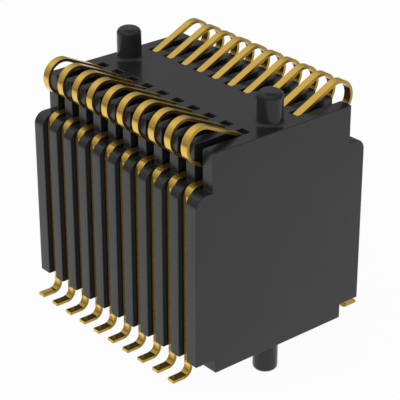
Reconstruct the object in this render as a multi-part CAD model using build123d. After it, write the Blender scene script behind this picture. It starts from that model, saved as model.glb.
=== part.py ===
from build123d import *
import math
import os

# Tall board to board connector, one moulded housing and two rows of spring contacts, in millimetres.
# X runs along the rows, Y across them and Z up. The origin is the middle of the footprint, in the plane
# of the board that the contact feet are soldered to.

# Contact rows
positions = 10
pitch = 1.00

# Housing, from the board upwards
board_gap = 0.17
standoff_inset = 1.01
standoff_height = 0.63
body_width = 8.92
body_height = 7.48
shoulder_radius = 0.50
shoulder_depth = 0.83
neck_height = 1.65
end_rib_width = 0.62

# Slots in the housing
side_clearance = 0.05
pocket_clearance = 0.10
tongue_clearance = 0.19
tongue_cavity_depth = 1.16

# Alignment pins, moulded in one with the housing
pin_diameter = 1.06
pin_end_distance = 0.855
top_pin_height = 1.37
board_pin_length = 1.50
pin_tip_chamfer = 0.16
top_pin_root_chamfer = 0.09

# Spring contacts, with every bend radius on the inner side of the bend
metal_thickness = 0.14
contact_width = 0.37
leg_recess = 0.225
span_over_feet = 10.18
foot_bend_radius = 0.31
arch_radius = 0.38
arch_rise = 0.12
hairpin_radius = 0.26
limb_angle = 30.0
loop_radius = 0.65
loop_overhang = 0.725
loop_rise = 0.865
tongue_angle = 25.5
tongue_length = 2.06

# Half widths of the housing's steps
body_side = body_width / 2
standoff_side = body_side - standoff_inset
neck_side = body_side - shoulder_depth

# Levels above the board
body_bottom = board_gap + standoff_height
shoulder_level = body_bottom + body_height
top_level = shoulder_level + neck_height

# Places along a row
slot_width = contact_width + 2 * side_clearance
row_length = (positions - 1) * pitch
housing_length = row_length + slot_width + 2 * end_rib_width
pin_spacing = housing_length - 2 * pin_end_distance

# Middle line of the contact strip, as distance out from the centre plane and level above the board
half_metal = metal_thickness / 2
foot_bend = foot_bend_radius + half_metal
arch_bend = arch_radius + half_metal
hairpin_bend = hairpin_radius + half_metal
loop_bend = loop_radius + half_metal
slot_floor = body_side - leg_recess - metal_thickness
leg_line = slot_floor + half_metal
arch_level = shoulder_level + arch_rise - half_metal
loop_line = neck_side + loop_overhang - half_metal - loop_bend
loop_level = top_level + loop_rise - half_metal - loop_bend

# The lower limb of the spring is the straight run that touches both the hairpin and the loop
limb = math.radians(limb_angle)
limb_end_line = loop_line + loop_bend * math.sin(limb)
limb_end_level = loop_level - loop_bend * math.cos(limb)
hairpin_level = arch_level + hairpin_bend
limb_rise = limb_end_level - hairpin_level - hairpin_bend * math.cos(limb)
limb_run = limb_rise / math.sin(limb)
hairpin_line = limb_end_line - limb_run * math.cos(limb) + hairpin_bend * math.sin(limb)

# The tongue runs on from the loop, down into the housing
tongue = math.radians(tongue_angle)
tongue_tip_line = loop_line - loop_bend * math.sin(tongue) - tongue_length * math.cos(tongue)

# Slot walls that follow the contact; the saddle is the slanted corner under its arch, as wide as the arch
saddle_cut = arch_radius
pocket_floor = arch_level - half_metal
pocket_back = hairpin_line - hairpin_bend - half_metal - pocket_clearance
tongue_cavity_floor = top_level - tongue_cavity_depth
slot_end = tongue_tip_line - tongue_clearance
overcut = 1.0

# Side view of the front row: the sketch's X is distance out from the centre plane, its Y is up
side_view = Plane(origin=(0, 0, 0), x_dir=(0, -1, 0), z_dir=(-1, 0, 0))
to_rear_row = Rot(0, 0, 180)


def strip_side(start, heading, moves, offset):
    """One long side of a bent strip, at an offset to the left of its middle line.

    Each move is a straight run (length, 0) or a bend (middle radius, turn in degrees, left positive).
    """
    angle = math.radians(heading)
    point = Vector(*start) + Vector(-math.sin(angle), math.cos(angle)) * offset
    edges = []
    for size, turn in moves:
        angle = math.radians(heading)
        along = Vector(math.cos(angle), math.sin(angle))
        if turn == 0:
            edge = Line(point, point + along * size)
        else:
            edge = JernArc(point, along, size - math.copysign(1, turn) * offset, turn)
            heading += turn
        edges.append(edge)
        point = edge @ 1
    return edges


def make_contact():
    """Spring contact of the front row, bent from one strip, with its middle at X zero."""
    foot_run = span_over_feet / 2 - leg_line - foot_bend
    leg_run = arch_level - arch_bend - half_metal - foot_bend
    arch_run = leg_line - arch_bend - hairpin_line
    moves = [
        (foot_run, 0),
        (foot_bend, -90),
        (leg_run, 0),
        (arch_bend, 90),
        (arch_run, 0),
        (hairpin_bend, limb_angle - 180),
        (limb_run, 0),
        (loop_bend, 180 - limb_angle + tongue_angle),
        (tongue_length, 0),
    ]
    foot_tip = (span_over_feet / 2, half_metal)
    inner_side = strip_side(foot_tip, 180, moves, half_metal)
    outer_side = strip_side(foot_tip, 180, moves, -half_metal)
    foot_end = Line(inner_side[0] @ 0, outer_side[0] @ 0)
    tongue_end = Line(inner_side[-1] @ 1, outer_side[-1] @ 1)
    strip = make_face(inner_side + outer_side + [foot_end, tongue_end])
    return extrude(side_view * strip, amount=contact_width / 2, both=True)


def make_slot():
    """Room for one contact of the front row, open at the ribs' faces, the shoulder and the top face."""
    outside = body_side + overcut
    below = body_bottom - overcut
    above = top_level + overcut
    outline = Polyline(
        (outside, below),
        (slot_floor, below),
        (slot_floor, pocket_floor - saddle_cut),
        (slot_floor - saddle_cut, pocket_floor),
        (pocket_back, pocket_floor),
        (pocket_back, tongue_cavity_floor),
        (slot_end, tongue_cavity_floor),
        (slot_end, above),
        (outside, above),
        close=True,
    )
    return extrude(side_view * make_face(outline), amount=slot_width / 2, both=True)


def make_blank():
    """Housing without slots or pins, from its end view."""
    half_view = Polyline(
        (0, board_gap),
        (standoff_side, board_gap),
        (standoff_side, body_bottom),
        (body_side, body_bottom),
        (body_side, shoulder_level),
        (neck_side, shoulder_level),
        (neck_side, top_level),
        (0, top_level),
        close=True,
    )
    half = make_face(half_view)
    shoulder = half.vertices().sort_by_distance((body_side, shoulder_level))[0]
    half = fillet(shoulder, shoulder_radius)
    end_view = half + mirror(half, about=Plane.YZ)
    return extrude(side_view * end_view, amount=housing_length / 2, both=True)


def make_pin(length):
    """Round pin with a bevelled tip, standing on the plane Z zero."""
    pin = Cylinder(pin_diameter / 2, length, align=(Align.CENTER, Align.CENTER, Align.MIN))
    return chamfer(pin.faces().sort_by(Axis.Z)[-1].edges(), pin_tip_chamfer)


def make_housing():
    """Moulded housing with its four alignment pins and one slot for each contact."""
    housing = make_blank()
    top_pin = make_pin(top_pin_height)
    board_pin = Rot(180, 0, 0) * make_pin(board_pin_length)
    for place in GridLocations(pin_spacing, 0, 2, 1):
        housing += place * Pos(0, 0, top_level) * top_pin
        housing += place * Pos(0, 0, board_gap) * board_pin
    circles = housing.edges().filter_by(GeomType.CIRCLE)
    roots = circles.filter_by_position(Axis.Z, top_level, top_level)
    housing = chamfer(roots, top_pin_root_chamfer)
    slot = make_slot()
    front_slots = [place * slot for place in GridLocations(pitch, 0, positions, 1)]
    rear_slots = [to_rear_row * front_slot for front_slot in front_slots]
    return housing - front_slots - rear_slots


os.makedirs("parts", exist_ok=True)
export_step(make_housing(), "parts/housing.step")
contact = make_contact()
for number, place in enumerate(GridLocations(pitch, 0, positions, 1), start=1):
    export_step(place * contact, f"parts/front_contact_{number:02d}.step")
    export_step(place * to_rear_row * contact, f"parts/rear_contact_{number:02d}.step")
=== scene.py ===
"""Looks of a tall board to board connector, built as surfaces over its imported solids."""

import math

import bmesh
import bpy
import numpy as np
from bpy.props import EnumProperty, FloatProperty, FloatVectorProperty, PointerProperty
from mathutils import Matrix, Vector


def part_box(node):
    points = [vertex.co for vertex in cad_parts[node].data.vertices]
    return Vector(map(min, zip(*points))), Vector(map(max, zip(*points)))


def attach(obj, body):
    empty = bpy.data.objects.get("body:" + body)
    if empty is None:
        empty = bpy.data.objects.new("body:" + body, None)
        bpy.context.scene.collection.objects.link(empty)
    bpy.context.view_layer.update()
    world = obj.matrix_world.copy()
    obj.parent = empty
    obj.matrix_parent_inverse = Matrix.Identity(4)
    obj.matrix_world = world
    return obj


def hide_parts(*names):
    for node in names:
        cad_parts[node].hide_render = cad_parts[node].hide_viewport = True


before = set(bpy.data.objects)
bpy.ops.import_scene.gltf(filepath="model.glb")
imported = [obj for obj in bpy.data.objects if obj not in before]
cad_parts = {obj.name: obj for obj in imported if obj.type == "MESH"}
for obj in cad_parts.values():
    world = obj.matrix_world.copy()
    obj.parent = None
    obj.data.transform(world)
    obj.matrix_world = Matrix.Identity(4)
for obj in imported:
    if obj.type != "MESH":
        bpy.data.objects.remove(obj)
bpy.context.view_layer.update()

bl_info = {
    "name": "Board to Board Connector",
    "version": (1, 0, 0),
    "blender": (4, 5, 0),
    "location": "3D View > Sidebar > Connector",
    "description": "Builds a board to board connector's housing, spring contacts and studio",
    "category": "Add Mesh",
}

MM = 0.001
HOUSING_LOW, HOUSING_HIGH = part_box("housing")
CONTACT_LOW, CONTACT_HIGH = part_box("front_contact_01")
POSITIONS = sum(name.startswith("front_contact_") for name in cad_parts)

# What the settings of one kind have in common
COLOUR = {"size": 3, "min": 0.0, "max": 1.0, "subtype": "COLOR"}
SHARE = {"min": 0.0, "max": 1.0, "subtype": "FACTOR"}
PLACE = {"size": 3, "subtype": "TRANSLATION", "unit": "LENGTH"}

# Steps in each rounding of the housing, and round a pin
SHOULDER_STEPS = 12
SADDLE_STEPS = 10
MOULDED_EDGE_STEPS = 2
PIN_ROOT_STEPS = 8
PIN_TIP_STEPS = 9
PIN_TURN_STEPS = 48

# Steps in each edge of the strip, degrees in each step of a bend, and where the rows that round
# the strip's end lie on their quarter circle
STRIP_EDGE_STEPS = 4
BEND_STEP_DEGREES = 4.0
STRIP_END_DEGREES = (15, 35, 55, 75, 90)

# Limits while the housing's surfaces are joined: a distance in millimetres, two angles between
# faces, and the upward part of a level face's normal
SAME_PLACE = 1e-4
FLAT_ANGLE = math.radians(0.5)
SHARP_ANGLE = math.radians(30)
LEVEL_NORMAL = 0.99

# Grain of each finish, and the part of its noise that is stretched to 0..1
PLASTIC_GRAIN = {
    "Fine_Size": 0.06 * MM,
    "Broad_Size": 1.6 * MM,
    "Broad_Share": 0.6,
    "Smooth": 0.16,
    "Rough": 0.26,
}
ROLLING_LINES = {
    "Fine_Size": 0.022 * MM,
    "Broad_Size": 0.12 * MM,
    "Broad_Share": 0.45,
    "Smooth": 0.09,
    "Rough": 0.19,
}
GOLD_MOTTLE = {
    "Fine_Size": 0.04 * MM,
    "Broad_Size": 0.6 * MM,
    "Broad_Share": 0.5,
    "Smooth": 0.0,
    "Rough": 0.06,
}
NOISE_RANGE = {"From_Min": 0.32, "From_Max": 0.68}

# Gold: what draws the rolling lines out along the strip, what a sheared edge adds to the
# roughness, how fast its tone sets in, and the orange peel for each unit of the mask "bend"
ROLLING_DRAW = (1.0, 0.04, 1.0)
SHEARED_ROUGHNESS = 0.10
SHEARED_POWER = 2.0
PEEL_PER_BEND = 0.25

# The mask "bend", in 1/mm: its gain on the inner side, and the range over which the painted shade
# in bends sets in
INNER_SIDE_GAIN = 0.9
BEND_SHADE_RANGE = {"From_Min": 1.95, "From_Max": 2.60, "To_Min": 1.0}

# Sky: brightness by the upward part of the direction, where 0.0 is level or below it, and the
# range of the part towards the rear row over which it falls
SKY_STEPS = (
    (0.0, 0.31),
    (0.28, 0.38),
    (0.47, 0.53),
    (0.60, 0.74),
    (0.72, 0.83),
    (0.79, 0.86),
    (0.90, 0.32),
    (1.0, 0.25),
)
SKY_SIDE = {"From_Min": -0.15, "From_Max": 0.25, "To_Min": 1.0, "To_Max": 0.78}

# Lamps' places and diameters, the floor's rings and turns, and the camera's sensor in millimetres
# and its clips
KEY_LAMP_PLACE, KEY_LAMP_SIZE = (-0.25, -0.95, 0.45), 0.45
FILL_LAMP_PLACE, FILL_LAMP_SIZE = (0.75, -0.55, 0.35), 0.60
FLOOR_RINGS, FLOOR_TURNS = 24, 96
SENSOR_WIDTH = 36.0
CLIP_START, CLIP_END = 0.001, 10.0


class HousingSettings(bpy.types.PropertyGroup):
    """Sizes and finish of the moulded housing."""

    body_width: FloatProperty(
        name="Body width",
        description="Width over the ribs of both rows",
        default=HOUSING_HIGH.y - HOUSING_LOW.y,
        unit="LENGTH",
    )
    standoff_width: FloatProperty(
        name="Standoff width",
        description="Width of the inset block below the ribs",
        default=6.90 * MM,
        unit="LENGTH",
    )
    neck_width: FloatProperty(
        name="Neck width",
        description="Width of the part above the shoulders",
        default=7.26 * MM,
        unit="LENGTH",
    )
    underside_level: FloatProperty(
        name="Underside level",
        description="Underside above the board",
        default=0.17 * MM,
        unit="LENGTH",
    )
    rib_bottom_level: FloatProperty(
        name="Rib bottom level",
        description="Lower ends of the ribs above the board",
        default=0.80 * MM,
        unit="LENGTH",
    )
    shoulder_level: FloatProperty(
        name="Shoulder level",
        description="Shoulders above the board",
        default=8.28 * MM,
        unit="LENGTH",
    )
    top_level: FloatProperty(
        name="Top level",
        description="Top face above the board",
        default=9.93 * MM,
        unit="LENGTH",
    )
    shoulder_radius: FloatProperty(
        name="Shoulder radius",
        description="Rounding of the shoulders",
        default=0.50 * MM,
        unit="LENGTH",
    )
    slot_width: FloatProperty(
        name="Slot width",
        description="Width of the slot for one contact",
        default=0.47 * MM,
        unit="LENGTH",
    )
    slot_depth: FloatProperty(
        name="Slot depth",
        description="From the ribs' faces to the slot's floor",
        default=0.365 * MM,
        unit="LENGTH",
    )
    saddle_radius: FloatProperty(
        name="Saddle radius",
        description="Rounded corner below the contact's arch",
        default=0.45 * MM,
        unit="LENGTH",
    )
    pocket_level: FloatProperty(
        name="Pocket level",
        description="Pocket's floor above the board",
        default=8.26 * MM,
        unit="LENGTH",
    )
    pocket_back: FloatProperty(
        name="Pocket back",
        description="From the centre plane to the pocket's back",
        default=2.8354 * MM,
        unit="LENGTH",
    )
    cavity_level: FloatProperty(
        name="Tongue cavity level",
        description="Floor of the tongue's cavity above the board",
        default=8.77 * MM,
        unit="LENGTH",
    )
    slot_end: FloatProperty(
        name="Slot end",
        description="From the centre plane to the slot's inner end",
        default=1.2057 * MM,
        unit="LENGTH",
    )
    edge_round: FloatProperty(
        name="Edge rounding",
        description="Rounding of the moulded edges",
        default=0.035 * MM,
        unit="LENGTH",
    )
    pin_diameter: FloatProperty(
        name="Pin diameter",
        description="Diameter of the alignment pins",
        default=1.06 * MM,
        unit="LENGTH",
    )
    pin_spacing: FloatProperty(
        name="Pin spacing",
        description="Between the middles of the two pins of a face",
        default=9.0 * MM,
        unit="LENGTH",
    )
    top_pin_tip_round: FloatProperty(
        name="Top pin tip rounding",
        description="Rounding of the upper pins' tips",
        default=0.27 * MM,
        unit="LENGTH",
    )
    board_pin_tip_round: FloatProperty(
        name="Board pin tip rounding",
        description="Rounding of the lower pins' tips",
        default=0.20 * MM,
        unit="LENGTH",
    )
    pin_root_round: FloatProperty(
        name="Pin root rounding",
        description="Fillet round the roots of the top pins",
        default=0.15 * MM,
        unit="LENGTH",
    )
    plastic_dark: FloatVectorProperty(
        name="Plastic, darker",
        description="Darker tone of the moulded plastic",
        default=(0.0142, 0.0142, 0.0145),
        **COLOUR,
    )
    plastic_light: FloatVectorProperty(
        name="Plastic, lighter",
        description="Lighter tone of the moulded plastic",
        default=(0.0198, 0.0198, 0.0201),
        **COLOUR,
    )


class ContactSettings(bpy.types.PropertyGroup):
    """Sizes and finish of the spring contacts."""

    width: FloatProperty(
        name="Strip width",
        description="Width of the strip, along the row",
        default=CONTACT_HIGH.x - CONTACT_LOW.x,
        unit="LENGTH",
    )
    thickness: FloatProperty(
        name="Strip thickness",
        description="Thickness of the strip",
        default=0.14 * MM,
        unit="LENGTH",
    )
    edge_round: FloatProperty(
        name="Edge rounding",
        description="Rounding of the strip's edges",
        default=0.016 * MM,
        unit="LENGTH",
    )
    span_over_feet: FloatProperty(
        name="Span over feet",
        description="Between the tips of the feet of both rows",
        default=-2 * CONTACT_LOW.y,
        unit="LENGTH",
    )
    leg_distance: FloatProperty(
        name="Leg distance",
        description="From the centre plane to the leg's inner face",
        default=4.095 * MM,
        unit="LENGTH",
    )
    arch_top: FloatProperty(
        name="Arch top",
        description="Top of the arch above the board",
        default=8.40 * MM,
        unit="LENGTH",
    )
    foot_radius: FloatProperty(
        name="Foot bend",
        description="Inner radius of the bend above the foot",
        default=0.31 * MM,
        unit="LENGTH",
    )
    arch_radius: FloatProperty(
        name="Arch bend",
        description="Inner radius of the bend over the shoulder",
        default=0.38 * MM,
        unit="LENGTH",
    )
    hairpin_radius: FloatProperty(
        name="Hairpin bend",
        description="Inner radius of the hairpin in the pocket",
        default=0.26 * MM,
        unit="LENGTH",
    )
    loop_radius: FloatProperty(
        name="Loop bend",
        description="Inner radius of the loop",
        default=0.65 * MM,
        unit="LENGTH",
    )
    loop_reach: FloatProperty(
        name="Loop reach",
        description="From the centre plane to the outside of the loop",
        default=4.355 * MM,
        unit="LENGTH",
    )
    loop_top: FloatProperty(
        name="Loop top",
        description="Top of the loop above the board",
        default=CONTACT_HIGH.z,
        unit="LENGTH",
    )
    limb_angle: FloatProperty(
        name="Limb angle",
        description="Slope of the straight limb between hairpin and loop",
        default=math.radians(30.0),
        subtype="ANGLE",
    )
    tongue_angle: FloatProperty(
        name="Tongue angle",
        description="Slope of the tongue",
        default=math.radians(25.5),
        subtype="ANGLE",
    )
    tongue_length: FloatProperty(
        name="Tongue length",
        description="Straight length of the tongue",
        default=2.06 * MM,
        unit="LENGTH",
    )
    gold_deep: FloatVectorProperty(
        name="Gold, deeper",
        description="Deeper tone of the gold plating",
        default=(0.80, 0.502, 0.085),
        **COLOUR,
    )
    gold_bright: FloatVectorProperty(
        name="Gold, brighter",
        description="Brighter tone of the gold plating",
        default=(0.87, 0.570, 0.120),
        **COLOUR,
    )
    edge_tone: FloatProperty(
        name="Edge tone",
        description="Brightness of the sheared edges against the rolled faces",
        default=0.52,
        **SHARE,
    )
    # Painted shade: how bright tight bends and the inner side of the other bends are painted
    bend_shade: FloatProperty(
        name="Bend tone",
        description="Brightness of tight bends and of the inner side of the others",
        default=0.64,
        **SHARE,
    )
    # Painted shade: the strip's colour where another surface reflects it, a dull grey in place of
    # gold that darkens those reflections
    reflection_shade_colour: FloatVectorProperty(
        name="Echo colour",
        description="Colour of the strip where it is seen in another surface",
        default=(0.27, 0.26, 0.20),
        **COLOUR,
    )


class StudioSettings(bpy.types.PropertyGroup):
    """Camera, floor and light."""

    camera_place: FloatVectorProperty(
        name="Camera place",
        description="Where the camera stands",
        default=(47.816 * MM, -39.595 * MM, 35.680 * MM),
        **PLACE,
    )
    camera_azimuth: FloatProperty(
        name="Camera azimuth",
        description="Turn of the camera round the object, 0 looking along +Y",
        default=math.radians(50.238),
        subtype="ANGLE",
    )
    camera_elevation: FloatProperty(
        name="Camera elevation",
        description="Downward look of the camera",
        default=math.radians(26.446),
        subtype="ANGLE",
    )
    camera_lens: FloatProperty(
        name="Focal length",
        description="Focal length in millimetres on a 36 mm sensor",
        default=147.25,
    )
    floor_level: FloatProperty(
        name="Floor level",
        description="Floor under the tips of the lower pins",
        default=HOUSING_LOW.z,
        unit="LENGTH",
    )
    floor_radius: FloatProperty(
        name="Floor radius",
        description="Radius of the round floor",
        default=1.5,
        unit="LENGTH",
    )
    floor_colour: FloatVectorProperty(
        name="Floor colour",
        description="Colour of the matt floor",
        default=(0.90, 0.90, 0.90),
        **COLOUR,
    )
    # Painted light: a pool of light painted on the floor round this centre, fully white within its
    # radius and fading to the far floor's grey beyond
    light_pool_centre: FloatVectorProperty(
        name="White centre",
        description="Middle of the white part of the floor, behind the object",
        default=(-8.0 * MM, 13.0 * MM, 0.0),
        **PLACE,
    )
    light_pool_radius: FloatProperty(
        name="White radius",
        description="Radius within which the floor is fully white",
        default=30.0 * MM,
        unit="LENGTH",
    )
    fade_length: FloatProperty(
        name="Fade length",
        description="Way beyond that radius after which half of the fade is done",
        default=37.0 * MM,
        unit="LENGTH",
    )
    far_floor: FloatProperty(
        name="Far floor",
        description="Brightness of the floor far from the object",
        default=0.18,
        min=0.0,
        max=1.0,
    )
    shadow_share: FloatProperty(
        name="Shadow share",
        description="Share of the floor's look that takes the shadow",
        default=0.04,
        **SHARE,
    )
    gloss_shadow_share: FloatProperty(
        name="Shadow share in gloss",
        description="The same share where the floor is seen in a glossy surface",
        default=0.10,
        **SHARE,
    )
    key_strength: FloatProperty(
        name="Key light",
        description="Strength of the soft lamp on the front row's side",
        default=0.36,
        min=0.0,
    )
    fill_strength: FloatProperty(
        name="Fill light",
        description="Strength of the soft lamp on the camera's side",
        default=0.16,
        min=0.0,
    )


def arc(centre, radius, start, end, steps):
    """Points centre + radius * (cos a, sin a), a going evenly from start to end, in degrees."""
    a = np.radians(np.linspace(start, end, steps + 1))
    return np.stack([centre[0] + radius * np.cos(a), centre[1] + radius * np.sin(a)], axis=1)


def grid_faces(rows, columns, first=0):
    """Quads between the neighbouring rows of a grid whose columns close on themselves."""
    row, column = np.meshgrid(np.arange(rows - 1), np.arange(columns), indexing="ij")
    here, above = row * columns, (row + 1) * columns
    after = (column + 1) % columns
    corners = [here + column, above + column, above + after, here + after]
    return np.stack(corners, axis=-1).reshape(-1, 4) + first


def middle_in_row(node):
    """Place of a contact's middle along its row, in metres."""
    low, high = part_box(node)
    return (low.x + high.x) / 2


def housing_outlines(h):
    """Half outlines of the block in millimetres, one through a rib and one through a slot.

    Their points are distance from the centre plane and level above the board. The two share their
    first three points and their last one.
    """
    side = h.body_width / 2 / MM
    slot_floor = (h.body_width / 2 - h.slot_depth) / MM
    standoff, neck, slot_end = h.standoff_width / 2 / MM, h.neck_width / 2 / MM, h.slot_end / MM
    levels = (h.underside_level, h.rib_bottom_level, h.shoulder_level, h.top_level)
    bottom, rib_bottom, shoulder, top = (level / MM for level in levels)
    pocket, back, cavity = h.pocket_level / MM, h.pocket_back / MM, h.cavity_level / MM
    round_out, round_in = h.shoulder_radius / MM, h.saddle_radius / MM
    shoulder_centre = (side - round_out, shoulder - round_out)
    saddle_centre = (slot_floor - round_in, pocket - round_in)
    start = [(standoff, bottom), (standoff, rib_bottom), (slot_floor, rib_bottom)]
    rib = np.vstack([
        start,
        [(side, rib_bottom)],
        arc(shoulder_centre, round_out, 0, 90, SHOULDER_STEPS),
        [(neck, shoulder), (neck, top), (slot_end, top)],
    ])
    slot = np.vstack([
        start,
        arc(saddle_centre, round_in, 0, 90, SADDLE_STEPS),
        [(back, pocket), (back, cavity), (slot_end, cavity), (slot_end, top)],
    ])
    return rib, slot


def both_halves(half):
    """The front half, up, and its mirror image, down, as one closed ring of (y, z) points."""
    return np.vstack([half * (-1, 1), half[::-1]])


def block_surface(h):
    """The slotted block in millimetres: its outline carried along X, changing at each slot wall.

    The outline is the rib's or the slot's by turns. Each wall of a slot is the flat face between
    the two outlines, and each end of the block is the flat face inside the rib's.
    """
    rib, slot = housing_outlines(h)
    end = HOUSING_HIGH.x / MM
    nodes = [f"front_contact_{number:02d}" for number in range(1, POSITIONS + 1)]
    centres = np.array([middle_in_row(node) / MM for node in nodes])
    half_slot = h.slot_width / 2 / MM
    walls = np.sort(np.concatenate([centres - half_slot, centres + half_slot]))
    stops = np.concatenate([[-end], walls, [end]])
    points, faces, count = [], [], 0
    for number, (x0, x1) in enumerate(zip(stops[:-1], stops[1:])):
        ring = both_halves(rib if number % 2 == 0 else slot)
        along = np.repeat([x0, x1], len(ring))
        points.append(np.column_stack([along, np.vstack([ring, ring])]))
        faces.extend(grid_faces(2, len(ring), count).tolist())
        count += 2 * len(ring)
    wall = np.vstack([rib[2:], slot[-2:2:-1]])
    flat_faces = []  # place along X, rim, and the order of its points that turns the face outwards
    for number, x in enumerate(walls):
        faces_plus_x = number % 2 == 0
        for side in (-1, 1):
            order = -1 if faces_plus_x == (side < 0) else 1
            flat_faces.append((x, wall * (side, 1), order))
    flat_faces += [(-end, both_halves(rib), 1), (end, both_halves(rib), -1)]
    for x, rim, order in flat_faces:
        points.append(np.column_stack([np.full(len(rim), x), rim]))
        faces.append((np.arange(len(rim)) + count)[::order].tolist())
        count += len(rim)
    return np.vstack(points), faces


def pin_surface(h, x, root_level, tip_level, root_round, tip_round):
    """One round pin in millimetres: the profile radius(t), level(t) turned round the pin's axis.

    The profile is the root's fillet, the straight wall, the tip's rounding and the flat tip's rim.
    """
    radius = h.pin_diameter / 2 / MM
    up = 1 if tip_level > root_level else -1
    length = abs(tip_level - root_level)
    root = np.array([(radius, 0.0)])
    if root_round:
        root = arc((radius + root_round, root_round), root_round, 270, 180, PIN_ROOT_STEPS)
    tip = arc((radius - tip_round, length - tip_round), tip_round, 0, 90, PIN_TIP_STEPS)
    profile = np.vstack([root, tip])
    turn = np.arange(PIN_TURN_STEPS) * 2 * np.pi / PIN_TURN_STEPS * up
    across = profile[:, :1] * np.cos(turn), profile[:, :1] * np.sin(turn)
    level = root_level + up * np.repeat(profile[:, 1:], PIN_TURN_STEPS, axis=1)
    points = np.stack([x + across[0], across[1], level], axis=-1).reshape(-1, 3)
    faces = grid_faces(len(profile), PIN_TURN_STEPS)[:, ::-1].tolist()
    cap = (np.arange(PIN_TURN_STEPS) + (len(profile) - 1) * PIN_TURN_STEPS).tolist()
    return points, faces + [cap]


def contact_line(c):
    """Middle line of a contact in millimetres: places, headings, distances along it, curvatures.

    Over each move the heading turns evenly, and the place is the sum of the unit steps along the
    heading. The curvature of a bend fades out over its last step, so the run after it has none.
    """
    half = c.thickness / 2 / MM
    radii = (c.foot_radius, c.arch_radius, c.hairpin_radius, c.loop_radius)
    foot, bend, hairpin, loop = (radius / MM + half for radius in radii)
    span, leg, arch = c.span_over_feet / 2 / MM, c.leg_distance / MM + half, c.arch_top / MM - half
    loop_line, loop_level = c.loop_reach / MM - half - loop, c.loop_top / MM - half - loop
    limb_run, limb_rise = math.cos(c.limb_angle), math.sin(c.limb_angle)
    end_line, end_level = loop_line + loop * limb_rise, loop_level - loop * limb_run
    limb = (end_level - arch - hairpin - hairpin * limb_run) / limb_rise
    hairpin_line = end_line - limb * limb_run + hairpin * limb_rise
    moves = [
        (span - leg - foot, 0.0),
        (foot, -math.pi / 2),
        (arch - bend - half - foot, 0.0),
        (bend, math.pi / 2),
        (leg - bend - hairpin_line, 0.0),
        (hairpin, c.limb_angle - math.pi),
        (limb, 0.0),
        (loop, math.pi - c.limb_angle + c.tongue_angle),
        (c.tongue_length / MM, 0.0),
    ]
    place, heading, travelled = np.array([span, half]), math.pi, 0.0
    places, headings = [place[None]], [np.array([heading])]
    distances, curves = [np.zeros(1)], [np.zeros(1)]
    for size, turn in moves:
        steps = max(1, math.ceil(abs(math.degrees(turn)) / BEND_STEP_DEGREES))
        length = abs(turn) * size if turn else size
        share = np.arange(1, steps + 1) / steps
        angle = heading + turn * share
        if turn:
            run, rise = np.sin(angle) - math.sin(heading), math.cos(heading) - np.cos(angle)
            shift = np.stack([run, rise], axis=1) * (length / turn)
        else:
            shift = np.outer(share * length, (math.cos(heading), math.sin(heading)))
        places.append(place + shift)
        headings.append(angle)
        distances.append(travelled + length * share)
        curves.append(np.append(np.full(steps - 1, turn / length), 0.0))
        place, heading, travelled = places[-1][-1], angle[-1], travelled + length
    return tuple(np.concatenate(values) for values in (places, headings, distances, curves))


def strip_section(width, thickness, radius):
    """Rounded rectangle: the centres of its roundings, its normals, and the distance round it.

    Point = centre + radius * normal, with X across the strip and Y through it.
    """
    a, b = width / 2 - radius, thickness / 2 - radius
    angle = np.radians(np.linspace(0, 90, STRIP_EDGE_STEPS + 1))
    turns = np.concatenate([angle + quarter * math.pi / 2 for quarter in range(4)])
    centres = np.repeat([(a, b), (-a, b), (-a, -b), (a, -b)], STRIP_EDGE_STEPS + 1, axis=0)
    normals = np.stack([np.cos(turns), np.sin(turns)], axis=1)
    points = centres + radius * normals
    gaps = np.linalg.norm(np.roll(points, -1, axis=0) - points, axis=1)
    return centres, normals, np.concatenate([[0.0], np.cumsum(gaps)])


def contact_surface(c, middle, rear):
    """One contact in millimetres: the rounded section carried along the bent middle line.

    Point = line(s) + across * X + through * normal(s). At both ends the section shrinks along a
    quarter circle of the edge rounding, and a flat face closes it. The mask "cut_edge" is 1 on the
    strip's edges and 0 on its faces. The mask "bend" is the line's curvature, and more on the
    inner side of a bend.
    """
    places, headings, distances, curves = contact_line(c)
    radius = c.edge_round / MM
    centres, normals, around = strip_section(c.width / MM, c.thickness / MM, radius)
    ends = np.radians(STRIP_END_DEGREES)
    lift, size, lean = radius * (1 - np.cos(ends)), radius * np.sin(ends), np.cos(ends)
    last = len(places) - 1
    between = np.arange(1, last)
    first_rows, last_rows = np.zeros(len(ends), int), np.full(len(ends), last)
    station = np.concatenate([first_rows, between, last_rows])
    shift = np.concatenate([lift, np.zeros(len(between)), -lift[::-1]])
    reach = np.concatenate([size, np.full(len(between), radius), size[::-1]])
    tilt = np.concatenate([-lean, np.zeros(len(between)), lean[::-1]])
    along = np.stack([np.cos(headings), np.sin(headings)], axis=1)[station]
    left = np.stack([-along[:, 1], along[:, 0]], axis=1)
    line = places[station] + along * shift[:, None]
    across = centres[None, :, 0] + reach[:, None] * normals[None, :, 0]
    through = centres[None, :, 1] + reach[:, None] * normals[None, :, 1]
    flat = line[:, None, :] + through[..., None] * left[:, None, :]
    untilted = np.sqrt(1 - tilt**2)[:, None]
    across_normal = normals[None, :, 0] * untilted
    flat_normal = (
        normals[None, :, 1, None] * left[:, None, :] * untilted[..., None]
        + along[:, None, :] * tilt[:, None, None]
    )
    turn = -1 if rear else 1
    points = [middle + turn * across, -turn * flat[..., 0], flat[..., 1]]
    point_normals = [turn * across_normal, -turn * flat_normal[..., 0], flat_normal[..., 1]]
    rows, columns = across.shape
    curve = curves[station, None]
    inner = np.maximum(0, np.sign(curve) * normals[None, :, 1])
    bend = np.abs(curve) * (1 + INNER_SIDE_GAIN * inner)
    return {
        "points": np.stack(points, axis=-1).reshape(-1, 3),
        "normals": np.stack(point_normals, axis=-1).reshape(-1, 3),
        "rows": rows,
        "columns": columns,
        "along": distances[station] + shift,
        "around": around,
        "cut_edge": np.abs(np.broadcast_to(normals[None, :, 0], (rows, columns))).ravel(),
        "bend": bend.ravel(),
    }


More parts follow.
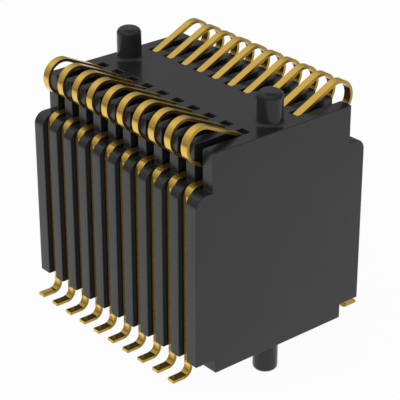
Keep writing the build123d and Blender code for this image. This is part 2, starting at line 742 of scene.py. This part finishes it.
def contact_mesh(c, name, middle, rear, material):
    """Mesh of one contact in metres, with exact normals, a UV map and the masks its finish reads.

    U is the distance round the section and V the distance along the strip, both in metres.
    """
    made = contact_surface(c, middle / MM, rear)
    rows, columns = made["rows"], made["columns"]
    quads = grid_faces(rows, columns)[:, ::-1]
    caps = [list(range(columns))[::-1], list(range((rows - 1) * columns, rows * columns))]
    mesh = bpy.data.meshes.new(name)
    mesh.from_pydata(made["points"] * MM, [], quads.tolist() + caps)
    mesh.shade_smooth()
    uv = np.stack(np.meshgrid(made["around"], made["along"]), axis=-1)
    row, left = np.meshgrid(np.arange(rows - 1), np.arange(columns), indexing="ij")
    corner_rows = np.stack([row, row + 1, row + 1, row], axis=-1)
    corner_columns = np.stack([left + 1, left + 1, left, left], axis=-1)
    quad_uv = uv[corner_rows, corner_columns].reshape(-1, 2)
    corner_uv = np.vstack([quad_uv, uv[0, caps[0]], uv[-1, :columns]]) * MM
    strip = mesh.uv_layers.new(name="strip")
    strip.data.foreach_set("uv", corner_uv.astype(np.float32).ravel())
    for mask in ("cut_edge", "bend"):
        values = mesh.attributes.new(mask, "FLOAT", "POINT")
        values.data.foreach_set("value", made[mask].astype(np.float32))
    mesh.normals_split_custom_set_from_vertices(made["normals"].tolist())
    mesh.materials.append(material)
    return mesh


def area_weighted_normals(mesh):
    """Normal at each vertex: its faces' normals times their areas, added up, at length 1."""
    faces = len(mesh.polygons)
    area, normal = np.empty(faces), np.empty(faces * 3)
    mesh.polygons.foreach_get("area", area)
    mesh.polygons.foreach_get("normal", normal)
    corners = np.empty(faces, int)
    mesh.polygons.foreach_get("loop_total", corners)
    vertex = np.empty(len(mesh.loops), int)
    mesh.loops.foreach_get("vertex_index", vertex)
    pull = np.repeat(normal.reshape(-1, 3) * area[:, None], corners, axis=0)
    total = np.zeros((len(mesh.vertices), 3))
    np.add.at(total, vertex, pull)
    return total / np.linalg.norm(total, axis=1, keepdims=True)


def merge_flat_faces(solid):
    """Makes one face of neighbouring faces in one plane."""
    bmesh.ops.dissolve_limit(
        solid,
        verts=solid.verts,
        edges=solid.edges,
        angle_limit=FLAT_ANGLE,
        use_dissolve_boundaries=False,
    )


def refill_face(solid, level, direction):
    """Fills the flat face at a level anew, up to the roots of the pins that stand on it."""

    def at_level(part):
        return all(abs(corner.co.z - level) < SAME_PLACE for corner in part.verts)

    old = [face for face in solid.faces if abs(face.normal.z) > LEVEL_NORMAL and at_level(face)]
    bmesh.ops.delete(solid, geom=old, context="FACES_ONLY")
    rims = [edge for edge in solid.edges if edge.is_boundary and at_level(edge)]
    bmesh.ops.triangle_fill(solid, use_beauty=True, edges=rims, normal=(0, 0, direction))


def check_closed(solid, what):
    """Stops the script if an edge of the surface hasn't exactly two faces."""
    if any(not edge.is_manifold for edge in solid.edges):
        raise RuntimeError(f"the housing's {what} isn't closed")


def housing_mesh(h, material):
    """Mesh of the moulded housing in metres: block and pins joined, then sharp edges rounded."""
    top, bottom = h.top_level / MM, h.underside_level / MM
    top_tip, bottom_tip = HOUSING_HIGH.z / MM, HOUSING_LOW.z / MM
    root_round = h.pin_root_round / MM
    top_round, bottom_round = h.top_pin_tip_round / MM, h.board_pin_tip_round / MM
    surfaces = [block_surface(h)]
    for x in (-h.pin_spacing / 2 / MM, h.pin_spacing / 2 / MM):
        surfaces.append(pin_surface(h, x, top, top_tip, root_round, top_round))
        surfaces.append(pin_surface(h, x, bottom, bottom_tip, 0.0, bottom_round))
    points, faces, count = [], [], 0
    for part_points, part_faces in surfaces:
        points.append(part_points)
        faces.extend([index + count for index in face] for face in part_faces)
        count += len(part_points)
    mesh = bpy.data.meshes.new("housing_moulding")
    mesh.from_pydata(np.vstack(points), [], faces)
    solid = bmesh.new()
    solid.from_mesh(mesh)
    bmesh.ops.remove_doubles(solid, verts=solid.verts, dist=SAME_PLACE)
    merge_flat_faces(solid)
    refill_face(solid, top, 1)
    refill_face(solid, bottom, -1)
    merge_flat_faces(solid)
    check_closed(solid, "surface")
    bmesh.ops.bevel(
        solid,
        geom=[edge for edge in solid.edges if edge.calc_face_angle() > SHARP_ANGLE],
        offset=h.edge_round / MM,
        offset_type="OFFSET",
        segments=MOULDED_EDGE_STEPS,
        profile=0.5,
        affect="EDGES",
        clamp_overlap=False,
        material=-1,
    )
    check_closed(solid, "rounded surface")
    solid.to_mesh(mesh)
    solid.free()
    mesh.shade_smooth()
    normals = area_weighted_normals(mesh)
    place = np.empty(len(mesh.vertices) * 3)
    mesh.vertices.foreach_get("co", place)
    mesh.vertices.foreach_set("co", place * MM)
    mesh.update()
    mesh.normals_split_custom_set_from_vertices(normals.tolist())
    mesh.materials.append(material)
    return mesh


def add_piece(name, mesh, node):
    """Puts a finished mesh into the scene as the piece that stands for a CAD node."""
    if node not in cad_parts:
        raise RuntimeError(f"the packed model has no node {node}")
    piece = bpy.data.objects.new(name, mesh)
    bpy.context.scene.collection.objects.link(piece)
    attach(piece, "root")
    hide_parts(node)


def feed(tree, socket, given):
    """Sets a socket to a value, or links it to another node's output."""
    if isinstance(given, bpy.types.NodeSocket):
        tree.links.new(given, socket)
    else:
        socket.default_value = given


def add_node(tree, kind, x, y, group=None, **inputs):
    """Adds a node at a place in the editor. In the inputs' names a low line stands for a space."""
    made = tree.nodes.new(kind)
    made.location = (x, y)
    if group:
        made.node_tree = group
    for name, given in inputs.items():
        feed(tree, made.inputs[name.replace("_", " ")], given)
    return made


def math_node(tree, operation, x, y, first, second):
    """Adds a math node; each operand is a number or an output to link."""
    made = add_node(tree, "ShaderNodeMath", x, y)
    made.operation = operation
    feed(tree, made.inputs[0], first)
    feed(tree, made.inputs[1], second)
    return made.outputs[0]


def vector_node(tree, operation, x, y, first, second):
    """Adds a vector math node; each operand is a value or an output to link."""
    made = add_node(tree, "ShaderNodeVectorMath", x, y)
    made.operation = operation
    feed(tree, made.inputs[0], first)
    feed(tree, made.inputs["Scale" if operation == "SCALE" else 1], second)
    return made.outputs["Value" if operation == "DISTANCE" else "Vector"]


def map_range(tree, x, y, value, **ranges):
    """Adds a node that takes one range of a value to another."""
    return add_node(tree, "ShaderNodeMapRange", x, y, Value=value, **ranges).outputs[0]


def mix_colours(tree, x, y, share, first, second):
    """Blends two colours by a share; each colour is a value or an output to link."""
    made = add_node(tree, "ShaderNodeMix", x, y)
    made.data_type = "RGBA"
    feed(tree, made.inputs["Factor"], share)
    for name, given in (("A", first), ("B", second)):
        linked = isinstance(given, bpy.types.NodeSocket)
        feed(tree, made.inputs[name], given if linked else (*given, 1))
    return made.outputs["Result"]


def mix_shaders(tree, x, y, share, first, second):
    """Blends the outputs of two shaders by a share."""
    made = add_node(tree, "ShaderNodeMixShader", x, y)
    for socket, output in zip(made.inputs, (share, first, second)):
        tree.links.new(output, socket)
    return made.outputs[0]


def surface_grain():
    """Node group for the unevenness of a finish.

    Tone is a blend of a fine and a broad noise, stretched to 0..1, Roughness goes from Smooth to
    Rough with it, and Height is the fine noise alone.
    """
    name = "Surface grain"
    if name in bpy.data.node_groups:
        return bpy.data.node_groups[name]
    group = bpy.data.node_groups.new(name, "ShaderNodeTree")
    sockets = (
        ("Position", "NodeSocketVector", None),
        ("Fine Size", "NodeSocketFloat", 0.05 * MM),
        ("Broad Size", "NodeSocketFloat", 1.0 * MM),
        ("Broad Share", "NodeSocketFloat", 0.5),
        ("Smooth", "NodeSocketFloat", 0.1),
        ("Rough", "NodeSocketFloat", 0.2),
    )
    for label, kind, value in sockets:
        socket = group.interface.new_socket(name=label, in_out="INPUT", socket_type=kind)
        if value is not None:
            socket.default_value = value
    for label in ("Tone", "Roughness", "Height"):
        group.interface.new_socket(name=label, in_out="OUTPUT", socket_type="NodeSocketFloat")
    given = add_node(group, "NodeGroupInput", -1000, 0).outputs
    noises = []
    for label, y in (("Fine Size", 200), ("Broad Size", -200)):
        over = math_node(group, "DIVIDE", -800, y, 1.0, given[label])
        place = vector_node(group, "SCALE", -600, y, given["Position"], over)
        noise = add_node(
            group, "ShaderNodeTexNoise", -400, y, Vector=place, Scale=1.0, Detail=2.0, Roughness=0.5
        )
        noises.append(map_range(group, -200, y, noise.outputs[0], **NOISE_RANGE))
    fine, broad = noises
    blend = add_node(group, "ShaderNodeMix", 50, 0, Factor=given["Broad Share"], A=fine, B=broad)
    tone = blend.outputs["Result"]
    roughness = map_range(group, 300, -200, tone, To_Min=given["Smooth"], To_Max=given["Rough"])
    add_node(group, "NodeGroupOutput", 600, 0, Tone=tone, Roughness=roughness, Height=fine)
    return group


def add_grain(tree, x, y, position, finish):
    """Places the grain group in a material with one finish's values."""
    made = add_node(tree, "ShaderNodeGroup", x, y, surface_grain(), Position=position, **finish)
    return made.outputs


def new_material(name):
    """A material with an empty node tree, and that tree."""
    material = bpy.data.materials.new(name)
    material.use_nodes = True
    material.node_tree.nodes.clear()
    return material, material.node_tree


def show(tree, shader):
    """Adds the material's output and links a shader to it."""
    add_node(tree, "ShaderNodeOutputMaterial", 900, 0, Surface=shader)


def show_surface(tree, height, strength, distance, **inputs):
    """Adds a Principled shader with a bump of that height, and links it to the output."""
    bump = add_node(
        tree, "ShaderNodeBump", 200, -400, Strength=strength, Distance=distance, Height=height
    )
    normal = bump.outputs[0]
    shader = add_node(tree, "ShaderNodeBsdfPrincipled", 500, 0, Normal=normal, **inputs)
    show(tree, shader.outputs[0])


def moulded_plastic(h):
    """Black moulded plastic: near black, with a soft gloss, a very fine grain and flow marks."""
    material, tree = new_material("moulded_plastic")
    place = add_node(tree, "ShaderNodeTexCoord", -900, 0).outputs["Object"]
    grain = add_grain(tree, -600, 0, place, PLASTIC_GRAIN)
    colour = mix_colours(tree, 0, 200, grain["Tone"], h.plastic_dark, h.plastic_light)
    show_surface(
        tree,
        grain["Height"],
        strength=0.25,
        distance=0.002 * MM,
        Base_Color=colour,
        Roughness=grain["Roughness"],
        IOR=1.445,
    )
    return material


def gold_plating(c):
    """Gold plated strip: rolling lines along it, and rougher, darker sheared edges.

    The bends have a fine orange peel, and tight bends and the inner side of the others get painted
    shade. Where another surface shows the strip, it has its reflection shade colour, a painted
    shade.
    """
    material, tree = new_material("gold_plating")
    place = add_node(tree, "ShaderNodeTexCoord", -1200, -300).outputs["Object"]
    strip = add_node(tree, "ShaderNodeUVMap", -1200, 200)
    strip.uv_map = "strip"
    drawn = vector_node(tree, "MULTIPLY", -1000, 200, strip.outputs[0], ROLLING_DRAW)
    lines = add_grain(tree, -700, 200, drawn, ROLLING_LINES)
    mottle = add_grain(tree, -700, -300, place, GOLD_MOTTLE)
    masks = []
    for name, y in (("cut_edge", -600), ("bend", -800)):
        mask = add_node(tree, "ShaderNodeAttribute", -1000, y)
        mask.attribute_name = name
        masks.append(mask.outputs["Fac"])
    cut_edge, bend = masks

    # Roughness of the lines, the mottle and the sheared edges together
    sheared = math_node(tree, "MULTIPLY", -400, -500, cut_edge, SHEARED_ROUGHNESS)
    worn = math_node(tree, "ADD", -200, -200, lines["Roughness"], mottle["Roughness"])
    rough = math_node(tree, "ADD", 0, -250, worn, sheared)

    # Height of the lines, and of the mottle in the bends
    peel = math_node(tree, "MULTIPLY", -400, -750, bend, PEEL_PER_BEND)
    peel = math_node(tree, "MULTIPLY", -200, -700, peel, mottle["Height"])
    height = math_node(tree, "ADD", 0, -600, lines["Height"], peel)

    # Colour by the mean of both tones, darker on sheared edges, with painted shade in tight bends
    # and on the inner side of the others
    tone = math_node(tree, "ADD", -400, 250, lines["Tone"], mottle["Tone"])
    tone = math_node(tree, "MULTIPLY", -200, 250, tone, 0.5)
    gold = mix_colours(tree, 0, 300, tone, c.gold_deep, c.gold_bright)
    cut = math_node(tree, "POWER", -400, 600, cut_edge, SHEARED_POWER)
    cut = math_node(tree, "MULTIPLY", -200, 600, cut, 1.0 - c.edge_tone)
    cut = math_node(tree, "SUBTRACT", 0, 600, 1.0, cut)
    tight = map_range(tree, -200, 800, bend, **BEND_SHADE_RANGE, To_Max=c.bend_shade)
    edge_and_bend_shade = math_node(tree, "MULTIPLY", 150, 700, tight, cut)
    plated = vector_node(tree, "SCALE", 300, 400, gold, edge_and_bend_shade)

    # Painted shade on reflections: the ray depth is 0 for what the camera sees itself, and at least
    # 1 in another surface, where the gold is swapped for the dull reflection shade colour
    ray = add_node(tree, "ShaderNodeLightPath", -600, 1000)
    in_reflection = math_node(tree, "MINIMUM", -400, 1000, ray.outputs["Ray Depth"], 1.0)
    colour = mix_colours(tree, 400, 600, in_reflection, plated, c.reflection_shade_colour)
    show_surface(
        tree,
        height,
        strength=0.3,
        distance=0.0015 * MM,
        Base_Color=colour,
        Metallic=0.94,
        Roughness=rough,
    )
    return material


def studio_floor(s):
    """Floor with a painted pool of light, white behind the object and grey far away.

    With d the way from the white centre beyond the white radius and l the fade's length, its
    brightness goes from 1 towards that of the far floor by the share d * d / (l * l + d * d).
    The camera and gloss see that brightness as a painted glow, apart from the shadow shares, which
    are a matt surface. Other rays see the matt surface alone, with the same painted fade. From
    below the floor is transparent.
    """
    material, tree = new_material("studio_floor")
    place = add_node(tree, "ShaderNodeTexCoord", -1500, 0).outputs["Object"]
    centre = (s.light_pool_centre[0], s.light_pool_centre[1], s.floor_level)
    way = vector_node(tree, "DISTANCE", -1300, 0, place, centre)
    way = math_node(tree, "SUBTRACT", -1100, 0, way, s.light_pool_radius)
    way = math_node(tree, "MAXIMUM", -950, 0, way, 0.0)
    way = math_node(tree, "DIVIDE", -800, 0, way, s.fade_length)
    squared = math_node(tree, "MULTIPLY", -650, 0, way, way)
    whole = math_node(tree, "ADD", -500, -150, squared, 1.0)
    faded = math_node(tree, "DIVIDE", -350, 0, squared, whole)
    # Painted pool of light: white near the centre, fading to the far floor's grey
    white = mix_colours(tree, -150, 0, faded, (1.0, 1.0, 1.0), (s.far_floor,) * 3)
    paint = vector_node(tree, "MULTIPLY", 50, 200, white, s.floor_colour)
    matt = add_node(tree, "ShaderNodeBsdfDiffuse", 250, 100, Color=paint)
    glow = add_node(tree, "ShaderNodeEmission", 250, -100, Color=white, Strength=1.0)
    ray = add_node(tree, "ShaderNodeLightPath", -500, 400).outputs
    camera = math_node(tree, "MULTIPLY", -250, 500, ray["Is Camera Ray"], 1.0 - s.shadow_share)
    gloss = math_node(tree, "MAXIMUM", -250, 300, ray["Is Glossy Ray"], ray["Is Transmission Ray"])
    gloss = math_node(tree, "MULTIPLY", -50, 300, gloss, 1.0 - s.gloss_shadow_share)
    share = math_node(tree, "MAXIMUM", 200, 400, camera, gloss)
    above = mix_shaders(tree, 500, 0, share, matt.outputs[0], glow.outputs[0])
    below = add_node(tree, "ShaderNodeBsdfTransparent", 500, -200).outputs[0]
    side = add_node(tree, "ShaderNodeNewGeometry", 500, 300).outputs["Backfacing"]
    show(tree, mix_shaders(tree, 700, 0, side, above, below))
    return material


def studio_sky():
    """World light: brightness by height, with a dark zenith, and less on the rear row's side."""
    world = bpy.data.worlds.new("studio_sky")
    world.use_nodes = True
    tree = world.node_tree
    tree.nodes.clear()
    place = add_node(tree, "ShaderNodeTexCoord", -1000, 0).outputs["Generated"]
    parts = add_node(tree, "ShaderNodeSeparateXYZ", -800, 0, Vector=place).outputs
    ramp = add_node(tree, "ShaderNodeValToRGB", -500, 0, Fac=parts["Z"])
    elements = ramp.color_ramp.elements
    for position, _ in SKY_STEPS[1:-1]:
        elements.new(position)
    for element, (_, grey) in zip(elements, SKY_STEPS):
        element.color = (grey, grey, grey, 1)
    side = map_range(tree, -500, -300, parts["Y"], **SKY_SIDE)
    total = math_node(tree, "MULTIPLY", 100, 0, ramp.outputs[0], side)
    light = add_node(tree, "ShaderNodeBackground", 300, 0, Color=total, Strength=1.0)
    add_node(tree, "ShaderNodeOutputWorld", 500, 0, Surface=light.outputs[0])
    return world


class BuildStage(bpy.types.Operator):
    """Add the camera, the pale floor, the sky and the two soft lamps."""

    bl_idname = "connector.build_stage"
    bl_label = "Build Stage"
    bl_options = {"REGISTER", "UNDO"}

    def execute(self, context):
        s = context.scene.connector_studio
        self.add_camera(context, s)
        self.add_floor(context, s)
        context.scene.world = studio_sky()
        context.scene.view_settings.view_transform = "Standard"
        self.add_lamp(context, "key_lamp", KEY_LAMP_PLACE, KEY_LAMP_SIZE, s.key_strength)
        self.add_lamp(context, "fill_lamp", FILL_LAMP_PLACE, FILL_LAMP_SIZE, s.fill_strength)
        return {"FINISHED"}

    def add_camera(self, context, s):
        """Camera at the photograph's place, looking along its azimuth and elevation."""
        camera = bpy.data.objects.new("studio_camera", bpy.data.cameras.new("studio_camera"))
        context.scene.collection.objects.link(camera)
        level = math.cos(s.camera_elevation)
        back = Vector((
            math.sin(s.camera_azimuth) * level,
            -math.cos(s.camera_azimuth) * level,
            math.sin(s.camera_elevation),
        ))
        camera.location = s.camera_place
        camera.rotation_mode = "QUATERNION"
        camera.rotation_quaternion = (-back).to_track_quat("-Z", "Y")
        camera.data.sensor_width = SENSOR_WIDTH
        camera.data.lens = s.camera_lens
        camera.data.clip_start = CLIP_START
        camera.data.clip_end = CLIP_END
        context.scene.camera = camera

    def add_floor(self, context, s):
        """Round floor: points at radius r(i) and angle a(j), closer together near the middle."""
        radius = s.floor_radius * np.linspace(0, 1, FLOOR_RINGS + 1)[1:, None] ** 2
        angle = np.arange(FLOOR_TURNS) * 2 * np.pi / FLOOR_TURNS
        level = np.full((FLOOR_RINGS, FLOOR_TURNS), s.floor_level)
        points = np.stack([radius * np.cos(angle), radius * np.sin(angle), level], axis=-1)
        faces = grid_faces(FLOOR_RINGS, FLOOR_TURNS).tolist() + [list(range(FLOOR_TURNS))]
        mesh = bpy.data.meshes.new("studio_floor")
        mesh.from_pydata(points.reshape(-1, 3), [], faces)
        mesh.materials.append(studio_floor(s))
        floor = bpy.data.objects.new("studio_floor", mesh)
        context.scene.collection.objects.link(floor)

    def add_lamp(self, context, name, place, size, strength):
        """Round area lamp at a place, facing the object.

        Its power is strength * pi * pi * distance * distance, which lights a white card at the
        origin to that strength.
        """
        lamp = bpy.data.lights.new(name, "AREA")
        lamp.shape = "DISK"
        lamp.size = size
        away = Vector(place)
        lamp.energy = strength * math.pi**2 * away.length_squared
        lamp_object = bpy.data.objects.new(name, lamp)
        lamp_object.location = away
        lamp_object.rotation_mode = "QUATERNION"
        lamp_object.rotation_quaternion = (-away).to_track_quat("-Z", "Y")
        lamp_object.visible_camera = False
        lamp_object.visible_glossy = False
        context.scene.collection.objects.link(lamp_object)


class BuildHousing(bpy.types.Operator):
    """Add the slotted housing with its four alignment pins."""

    bl_idname = "connector.build_housing"
    bl_label = "Build Housing"
    bl_options = {"REGISTER", "UNDO"}

    def execute(self, context):
        h = context.scene.connector_housing
        mesh = housing_mesh(h, moulded_plastic(h))
        add_piece("housing_moulding", mesh, "housing")
        return {"FINISHED"}


class BuildContacts(bpy.types.Operator):
    """Add the spring contacts of one row."""

    bl_idname = "connector.build_contacts"
    bl_label = "Build Contacts"
    bl_options = {"REGISTER", "UNDO"}

    row: EnumProperty(
        name="Row",
        description="Row to build",
        items=(
            ("front", "Front", "Row on the side of -Y"),
            ("rear", "Rear", "Row on the side of +Y"),
        ),
        default="front",
    )

    def execute(self, context):
        c = context.scene.connector_contacts
        material = bpy.data.materials.get("gold_plating") or gold_plating(c)
        for number in range(1, POSITIONS + 1):
            node = f"{self.row}_contact_{number:02d}"
            name = f"{self.row}_spring_{number:02d}"
            mesh = contact_mesh(c, name, middle_in_row(node), self.row == "rear", material)
            add_piece(name, mesh, node)
        return {"FINISHED"}


class ConnectorPanel(bpy.types.Panel):
    """The connector's operators and settings."""

    bl_idname = "VIEW3D_PT_connector"
    bl_label = "Board to Board Connector"
    bl_space_type = "VIEW_3D"
    bl_region_type = "UI"
    bl_category = "Connector"

    def draw(self, context):
        layout, scene = self.layout, context.scene
        layout.operator(BuildStage.bl_idname)
        layout.operator(BuildHousing.bl_idname)
        layout.operator(BuildContacts.bl_idname, text="Build Front Contacts").row = "front"
        layout.operator(BuildContacts.bl_idname, text="Build Rear Contacts").row = "rear"
        for settings in (scene.connector_housing, scene.connector_contacts, scene.connector_studio):
            box = layout.box()
            for name in settings.__annotations__:
                box.prop(settings, name)


CLASSES = (
    HousingSettings,
    ContactSettings,
    StudioSettings,
    BuildStage,
    BuildHousing,
    BuildContacts,
    ConnectorPanel,
)


def register():
    """Makes the classes and the three groups of settings known to Blender."""
    for cls in CLASSES:
        bpy.utils.register_class(cls)
    bpy.types.Scene.connector_housing = PointerProperty(type=HousingSettings)
    bpy.types.Scene.connector_contacts = PointerProperty(type=ContactSettings)
    bpy.types.Scene.connector_studio = PointerProperty(type=StudioSettings)


def unregister():
    """Takes back what register does, in the opposite order."""
    del bpy.types.Scene.connector_studio
    del bpy.types.Scene.connector_contacts
    del bpy.types.Scene.connector_housing
    for cls in reversed(CLASSES):
        bpy.utils.unregister_class(cls)


def main():
    """Builds the stage and every piece."""
    register()
    bpy.ops.connector.build_stage()
    bpy.ops.connector.build_housing()
    bpy.ops.connector.build_contacts(row="front")
    bpy.ops.connector.build_contacts(row="rear")


if __name__ == "__main__":
    main()
